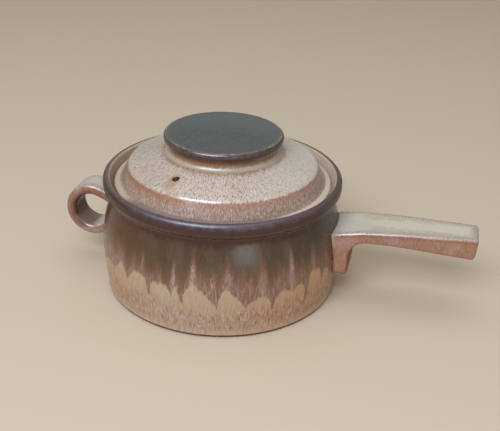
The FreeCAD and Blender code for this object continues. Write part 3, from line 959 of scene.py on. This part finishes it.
# The loop of a rounded rectangle, as places on the rectangle inside it (-1 to 1 both ways) and the outward
# direction at each. It runs from the upper side's far end round by the near side, the under side and the
# far side.
def roundedRectangle():
    corner = np.linspace(0, np.pi / 2, handles["cornerSteps"] + 1)
    across = np.linspace(1, -1, handles["acrossSteps"] + 1)[1:-1]
    down = np.linspace(1, -1, handles["sideSteps"] + 1)[1:-1]
    sides = [(across, 0, 1), (None, -1, 1), (down, -1, 0), (None, -1, -1), (-across, 0, -1), (None, 1, -1),
             (-down, 1, 0), (None, 1, 1)]
    spots, directions = [], []
    for run, y, b in sides:
        if run is None:
            angle = math.atan2(b, y) - math.pi / 4 + corner
            spot, direction = (y + 0 * angle, b + 0 * angle), (np.cos(angle), np.sin(angle))
        else:
            spot = (run, b + 0 * run) if y == 0 else (y + 0 * run, run)
            direction = (y + 0 * run, b + 0 * run)
        spots.append(np.stack(spot, 1))
        directions.append(np.stack(direction, 1))
    return np.concatenate(spots), np.concatenate(directions)


# How far a rounded end has drawn in at a distance from its tip: r - sqrt(r^2 - (r - d)^2).
def drawnIn(distance, radius):
    over = np.clip(radius - distance, 0, radius)
    return radius - np.sqrt(radius ** 2 - over ** 2)


# Closes a tube of rings: its first and last ring are repeated, and shrink on themselves to one point.
def cappedTube(rings, fields):
    shares, count = handles["capShares"], len(rings)
    rows = np.clip(np.arange(-len(shares), count + len(shares)), 0, count - 1)
    share = np.concatenate([shares, np.ones(count), shares[::-1]])[:, None, None]
    centres = rings.mean(1, keepdims=True)[rows]
    return poledGrid(centres + (rings[rows] - centres) * share,
                     {name: values[rows] for name, values in fields.items()})


# The stick handle: rounded rectangles carried from the foot of the leg up, round the arch and out along
# the arm. Each spans from a point on the under side to one on the upper side, or inside the wall.
def makeStickHandle(material):
    size = handles
    neckRadius, bellyRadius = pot["neck"][0], pot["belly"][0]
    endUnder = handleEnd - size["endLean"]
    under = roundedOutline([
        (size["legReach"], size["legBottom"], 0), (size["legReach"], size["underTop"], size["legRounding"]),
        (size["underReach"], size["underTop"], size["underRounding"]), (endUnder, size["endBottom"], 0),
    ], longestStep=size["longestStep"])[0]
    top = roundedOutline([
        (neckRadius, size["rootTop"], 0), (size["bendReach"], size["bendTop"], size["bendRounding"]),
        (handleEnd, size["endTop"], 0),
    ], longestStep=size["longestStep"])[0]
    archReach, archHeight = size["legReach"] + size["legRounding"], size["underTop"] - size["legRounding"]
    turning = np.clip(np.arctan2(under[:, 1] - archHeight, under[:, 0] - archReach), np.pi / 2, np.pi)
    onLeg, onArm = under[:, 1] <= archHeight, under[:, 0] >= archReach
    turning = np.where(onLeg, np.pi, np.where(onArm, np.pi / 2, turning))
    inWall = np.sqrt(wallRadius(under[:, 1]) ** 2 - size["rootHalfWidth"] ** 2) - size["sunk"]
    deepest = math.sqrt(wallRadius(size["rootTop"]) ** 2 - size["rootHalfWidth"] ** 2) - size["sunk"]
    rootSlope = (size["bendTop"] - size["rootTop"]) / (size["bendReach"] - neckRadius)
    sine, cosine = np.sin(turning), np.minimum(np.cos(turning), -meshing["tiny"])
    topLevel = size["rootTop"] + rootSlope * (archReach - neckRadius) - archHeight
    toTop = topLevel / np.maximum(sine - rootSlope * cosine, meshing["tiny"])
    toWall = (deepest - archReach) / cosine
    ray = np.minimum(toTop, toWall)[:, None] * np.stack([cosine, sine], 1)
    archTop = np.array([archReach, archHeight]) + ray
    lean = size["endLean"] * rise(under[:, 0], endUnder - size["leanLength"], endUnder)
    armTop = np.stack([under[:, 0] + lean, np.interp(under[:, 0] + lean, top[:, 0], top[:, 1])], 1)
    legTop = np.stack([np.minimum(inWall, deepest + size["legDeeper"]), under[:, 1]], 1)
    upper = np.where(onArm[:, None], armTop, np.where(onLeg[:, None], legTop, archTop))
    # Rows are added at both ends, where the handle rounds off
    ends = size["endRounding"] * (1 - np.cos(np.linspace(0, np.pi / 2, size["endSteps"])))
    toEnd = endUnder - under[:, 0]
    tongue = np.linspace(size["endRounding"], size["tongueRounding"], size["tongueSteps"])[1:]
    places = np.concatenate([ends, tongue])
    legRows = np.interp(size["legBottom"] + places, under[onLeg, 1], np.arange(onLeg.sum()))
    endStart = np.argmax(toEnd < size["endRounding"])
    endRows = np.interp(ends[::-1], toEnd[::-1], np.arange(len(under))[::-1])
    lastLeg = int(np.ceil(legRows[-1]))
    rows = np.concatenate([legRows, np.arange(lastLeg + 1, endStart), endRows])
    lower = np.stack([np.interp(rows, np.arange(len(under)), under[:, k]) for k in (0, 1)], 1)
    upper = np.stack([np.interp(rows, np.arange(len(under)), upper[:, k]) for k in (0, 1)], 1)
    toEnd = np.interp(rows, np.arange(len(under)), toEnd)
    toFoot = np.where(rows <= onLeg.sum() - 1, lower[:, 1] - size["legBottom"], handleEnd)
    spots, directions = roundedRectangle()
    span = upper - lower
    thickness = np.hypot(span[:, 0], span[:, 1])[:, None]
    inLower = (drawnIn(toEnd, size["endRounding"]) + drawnIn(toFoot, size["edgeRounding"]))[:, None]
    inUpper = drawnIn(toEnd, size["endRounding"])[:, None]
    inSides = inUpper + drawnIn(toFoot, size["tongueRounding"])[:, None]
    rounding = size["edgeRounding"]
    halfThick = (thickness - inLower - inUpper) / 2
    up = inLower + halfThick + spots[:, 1] * (halfThick - rounding) + rounding * directions[:, 1]
    way = span / thickness
    x = lower[:, :1] + way[:, :1] * up
    z = lower[:, 1:] + way[:, 1:] * up
    taper = (size["rootHalfWidth"] - size["endHalfWidth"]) / (handleEnd - bellyRadius)
    halfWidth = size["rootHalfWidth"] - taper * (x - bellyRadius)
    y = spots[:, 0] * (halfWidth - inSides - rounding) + rounding * directions[:, 0]
    gap = np.hypot(x, y) - wallRadius(z)
    inRoot = drawnIn(np.maximum(gap, 0), size["rootRounding"])
    y = y - directions[:, 0] * inRoot
    x, z = x - way[:, :1] * directions[:, 1] * inRoot, z - way[:, 1:] * directions[:, 1] * inRoot
    rings = np.stack([x, y, z], -1)
    topHeight = np.interp(x, top[:, 0], top[:, 1])
    fromEdge = np.minimum(halfWidth - abs(y), handleEnd - x) - (topHeight - z)
    fromEdge = np.where(directions[:, 1] > 0, fromEdge, -size["edgeRounding"])
    fields = {"fromEdge": fromEdge, "fromWall": gap, "fromTop": thickness - up + 0 * fromEdge,
              "facing": np.clip(-directions[:, 1], 0, 1) + 0 * fromEdge}
    points, faces, fields = cappedTube(rings, fields)
    makePiece("stick_handle_body", points, faces, fields, material, "pot", "stick_handle")


# The finger loop: a rounded rectangle carried round a bend and along two straight ends that lie inside the
# wall. Near the wall it flares.
def makeFingerLoop(material):
    size = handles
    centreReach = loopEnd + size["loopRadius"]
    middleRadius = size["loopRadius"] - size["loopThickness"] / 2
    bend = np.radians(np.linspace(-size["lowerBend"], size["upperBend"], size["bendSteps"]))
    straight = np.linspace(0, size["straightEnd"], size["straightSteps"])[1:]
    turns = np.concatenate([bend[0] + 0 * straight, bend, bend[-1] + 0 * straight])[:, None]
    past = np.concatenate([-straight[::-1], 0 * bend, straight])[:, None]
    spots, directions = roundedRectangle()
    rounding = size["loopRounding"]
    middle = centreReach - middleRadius * np.cos(turns) + past * np.sin(turns)
    gap = abs(middle) - wallRadius(size["loopHeight"] + middleRadius * np.sin(turns) + past * np.cos(turns))
    flare = size["flare"] * (1 - rise(gap, *size["flareReach"])) ** 2
    out = spots[:, 1] * (size["loopThickness"] / 2 - rounding) + (rounding + flare) * directions[:, 1]
    across = spots[:, 0] * (size["loopWidth"] / 2 - rounding) + (rounding + flare) * directions[:, 0]
    x = centreReach - (middleRadius + out) * np.cos(turns) + past * np.sin(turns)
    y = across + 0 * turns
    z = size["loopHeight"] + (middleRadius + out) * np.sin(turns) + past * np.cos(turns)
    outward = np.maximum(1, (wallRadius(z) - size["loopSunk"]) / np.hypot(x, y))
    x, y = x * outward, y * outward
    rings = np.stack([x, y, z], -1)
    fromFace = size["loopThickness"] / 2 - abs(out)
    fromEdge = size["loopWidth"] / 2 - abs(across) - fromFace * size["edgeSlope"] + 0 * turns
    fields = {"fromEdge": fromEdge, "fromWall": np.hypot(x, y) - wallRadius(z),
              "facing": np.sin(turns) * directions[:, 1] + 0 * out,
              "inner": np.clip(-directions[:, 1], 0, 1) + 0 * turns,
              "inward": 0.5 - out / size["loopThickness"]}
    points, faces, fields = cappedTube(rings, fields)
    makePiece("finger_loop", points, faces, fields, material, "pot", "loop_handle")


glaze.update({
    "armSide": "a17660", "loopSide": "90664f", "sideDash": "6d4736", "sidePale": "b4978d",
    "sideLilac": "a98c84", "edgeTone": "b3a093", "edgeDash": "8a6a60", "sageGrain": "8d766b",
    "sagePale": "cfc8b6", "sageStreak": "cec7b0", "sageRoot": "d6d2c2", "armRed": "85583f",
    "legBrown": "94552f", "rootLine": "c9b9a8", "rootShade": "3c2a22", "holeDark": "5e3222",
    "holeFar": "75604e", "holeSage": "d0c6b0", "holeShade": "5e3628", "loopPale": "ae968e",
})


def makeHandleGlaze(name, onLoop):
    material, shader = newMaterial(name)
    fromEdge, fromWall, facing = field("fromEdge"), field("fromWall"), field("facing")
    x, y, z = split(place())
    flow = (1, 0.3, 0.3)
    jag, cloud, grain = noise(1.0, 3.0, stretch=flow), noise(12.0), noise(0.7)
    browns, pales = dashes(0.8, 0.48, 0.62, flow), dashes(0.9, 0.48, 0.62, flow, (17, 3, 8))
    # Sides: pinkish brown with lilac patches and fine streaks. Upper side: sage, specked towards its edges
    side = coats("loopSide" if onLoop else "armSide", ("sideDash", browns, 0.45), ("sidePale", pales, 0.3),
                 ("sideLilac", fade(cloud, 0.48, 0.66), 0.45))
    sage = coats("sage", ("sageGrain", fade(shake(grain, cloud, 0.4), 0.42, 0.6), 0.4),
                 ("sagePale", pales, 0.3))
    inwards = shake(fromEdge, jag, 6, cloud, 6)
    colour = mix(fade(inwards, -1.6, 0.6), side, mix(times(browns, 0.7), "edgeTone", "edgeDash"))
    colour = mix(fade(inwards, 1.5, 7.5), colour, sage)
    level = 0.2
    if onLoop:
        # The inner face is dark red-brown at its outer end, greyer on the far side and sage at the bottom
        hole = coats(mix(fade(shake(y, cloud, 10), -1, 9), "holeDark", "holeFar"),
                     ("holeSage", fade(shake(facing, cloud, 0.4, jag, 0.2), 0.2, 0.75)))
        colour = coats(colour, (hole, fade(field("inner"), 0.35, 0.9), fade(fromEdge, -2.5, 1.5)),
                       ("holeShade", fade(shake(field("inward"), jag, 0.3), 0.35, 0.95),
                        fade(shake(x, cloud, 6), -99, -107), 0.8),
                       # Low on the loop its sides turn pale lilac: a painted sheen
                       ("loopPale", fade(shake(z, jag, 5, cloud, 8), 34, 29), fade(inwards, 2, -1), 0.6))
    else:
        # A pale streak runs out along the arm, and the root is pale. The side is redder under its upper
        # edge, browner round the inside of the leg, and has a pale line where the root's upper corner
        # meets the wall
        middle = fade(shake(calc("ABSOLUTE", y), cloud, 6, grain, 3), 9, 3)
        leg = times(fade(facing, 0.3, 0.9), fade(z, 56, 50))
        colour = coats(colour, ("sageStreak", middle, fade(shake(x, cloud, 30), 100, 125),
                        fade(fromEdge, 4, 9), 0.75),
                       ("sageRoot", fade(shake(x, cloud, 12), 118, 100), fade(inwards, 1.5, 7.5),
                        fade(grain, 0.36, 0.62), 0.6),
                       ("armRed", fade(fromEdge, -0.5, -2.0),
                        fade(shake(field("fromTop"), jag, 2), 4.5, 2.5), 0.45),
                       ("legBrown", leg, 0.85),
                       ("rootLine", fade(fromWall, 3.2, 1.4), fade(fromWall, 0.3, 0.9),
                        fade(z, 46, 54), 0.6))
        level = calc("ADD", times(leg, 0.5), level)
    colour = coats(colour, ("rootShade", fade(fromWall, 1.0, 0.2), 0.6))
    relief = times(browns, -0.35, fade(calc("ABSOLUTE", calc("ADD", fromEdge, 0.5)), 1.5, 4))
    finishGlaze(shader, colour, level, 0.1, 0.035, relief)
    return material


makePot(makePotGlaze())
makeLid(makeLidGlaze())
makeKnob(makeKnobGlaze())
makeStickHandle(makeHandleGlaze("stickHandleGlaze", False))
makeFingerLoop(makeHandleGlaze("fingerLoopGlaze", True))
print("pieces made")


# Studio

studio = {
    "floorSize": 8.0, "worldLight": 0.34, "aim": (0.03, 0.0, 0.06),
    # Each lamp: degrees round the pot, degrees up, distance, size, power, colour
    "lamps": {
        "keyLamp": (-95.0, 42.0, 1.7, (1.05, 0.62), 23.6, "lampLight"),     # lights, and doesn't gleam
        "topLamp": (-90.0, 90.0, 2.0, (1.8, 1.8), 13.0, "white"),
    },
    # Windows that only gleam on the glaze, and put no more light on its colours
    "windows": {
        "highWindow": (-112.0, 56.0, 1.75, (1.1, 0.95), 62.0, "skyBlue"),
        "midWindow": (-114.0, 30.0, 2.0, (0.4, 0.4), 3.0, "skyBlue"),
        "lowWindow": (-55.0, 5.0, 2.0, (0.5, 0.9), 6.6, "lowSky"),
    },
}
glaze.update({
    "floor": "cfbfaa", "world": "f2f3f0", "lampLight": "eaf0fb", "white": "ffffff", "skyBlue": "dce7ff",
    "lowSky": "e8eeff",
})
photoCamera = {
    "turn": 14.7, "distance": 0.58297, "height": 0.35228,     # where it stands, seen from the pot's axis
    "aimRight": 2.103, "aimDown": 27.183, "roll": 1.888,      # degrees
    "lens": 60.44, "sensor": 36.0,
}


def makeFloor():
    half = studio["floorSize"] / 2
    mesh = bpy.data.meshes.new("studio_floor")
    corners = [(-half, -half, 0), (half, -half, 0), (half, half, 0), (-half, half, 0)]
    mesh.from_pydata(corners, [], [(0, 1, 2, 3)])
    floor = newObject("studio_floor", mesh)
    material, shader = newMaterial("studioFloor")
    shader.inputs["Base Color"].default_value = paint("floor")
    shader.inputs["Roughness"].default_value = 1.0
    shader.inputs["Specular IOR Level"].default_value = 0.0
    mesh.materials.append(material)


# A lamp at an angle round the pot and above the floor, turned to face the pot.
def makeLamp(name, turn, elevation, distance, size, power, colour):
    light = bpy.data.lights.new(name, "AREA")
    light.shape = "RECTANGLE"
    light.size, light.size_y = size
    light.energy = power
    light.color = paint(colour)[:3]
    lamp = newObject(name, light)
    turn, elevation = math.radians(turn), math.radians(elevation)
    level = math.cos(elevation)
    away = Vector((math.cos(turn) * level, math.sin(turn) * level, math.sin(elevation)))
    lamp.location = Vector(studio["aim"]) + away * distance
    lamp.rotation_euler = (-away).to_track_quat("-Z", "Y").to_euler()
    return lamp


def makeStudio():
    makeFloor()
    for name, settings in studio["lamps"].items():
        makeLamp(name, *settings).visible_glossy = name != "keyLamp"
    for name, settings in studio["windows"].items():
        makeLamp(name, *settings).visible_diffuse = False
    world = bpy.data.worlds.new("studio_world")
    world.use_nodes = True
    bpy.context.scene.world = world
    background = world.node_tree.nodes["Background"]
    background.inputs["Color"].default_value = paint("world")
    background.inputs["Strength"].default_value = studio["worldLight"]


def makeCamera():
    lens = bpy.data.cameras.new("photo_camera")
    lens.lens = photoCamera["lens"]
    lens.sensor_width = photoCamera["sensor"]
    lens.clip_start = 0.01
    camera = newObject("photo_camera", lens)
    stand = Matrix.Rotation(math.radians(photoCamera["turn"]), 4, "Z")
    place = stand @ Vector((0, -photoCamera["distance"], photoCamera["height"]))
    aim = Matrix.Rotation(math.radians(photoCamera["turn"] - photoCamera["aimRight"]), 4, "Z")
    aim = aim @ Matrix.Rotation(math.radians(90 - photoCamera["aimDown"]), 4, "X")
    aim = aim @ Matrix.Rotation(math.radians(photoCamera["roll"]), 4, "Z")
    camera.matrix_world = Matrix.Translation(place) @ aim
    bpy.context.scene.camera = camera


makeStudio()
makeCamera()
bpy.context.scene.view_settings.view_transform = "Standard"
print("studio made")
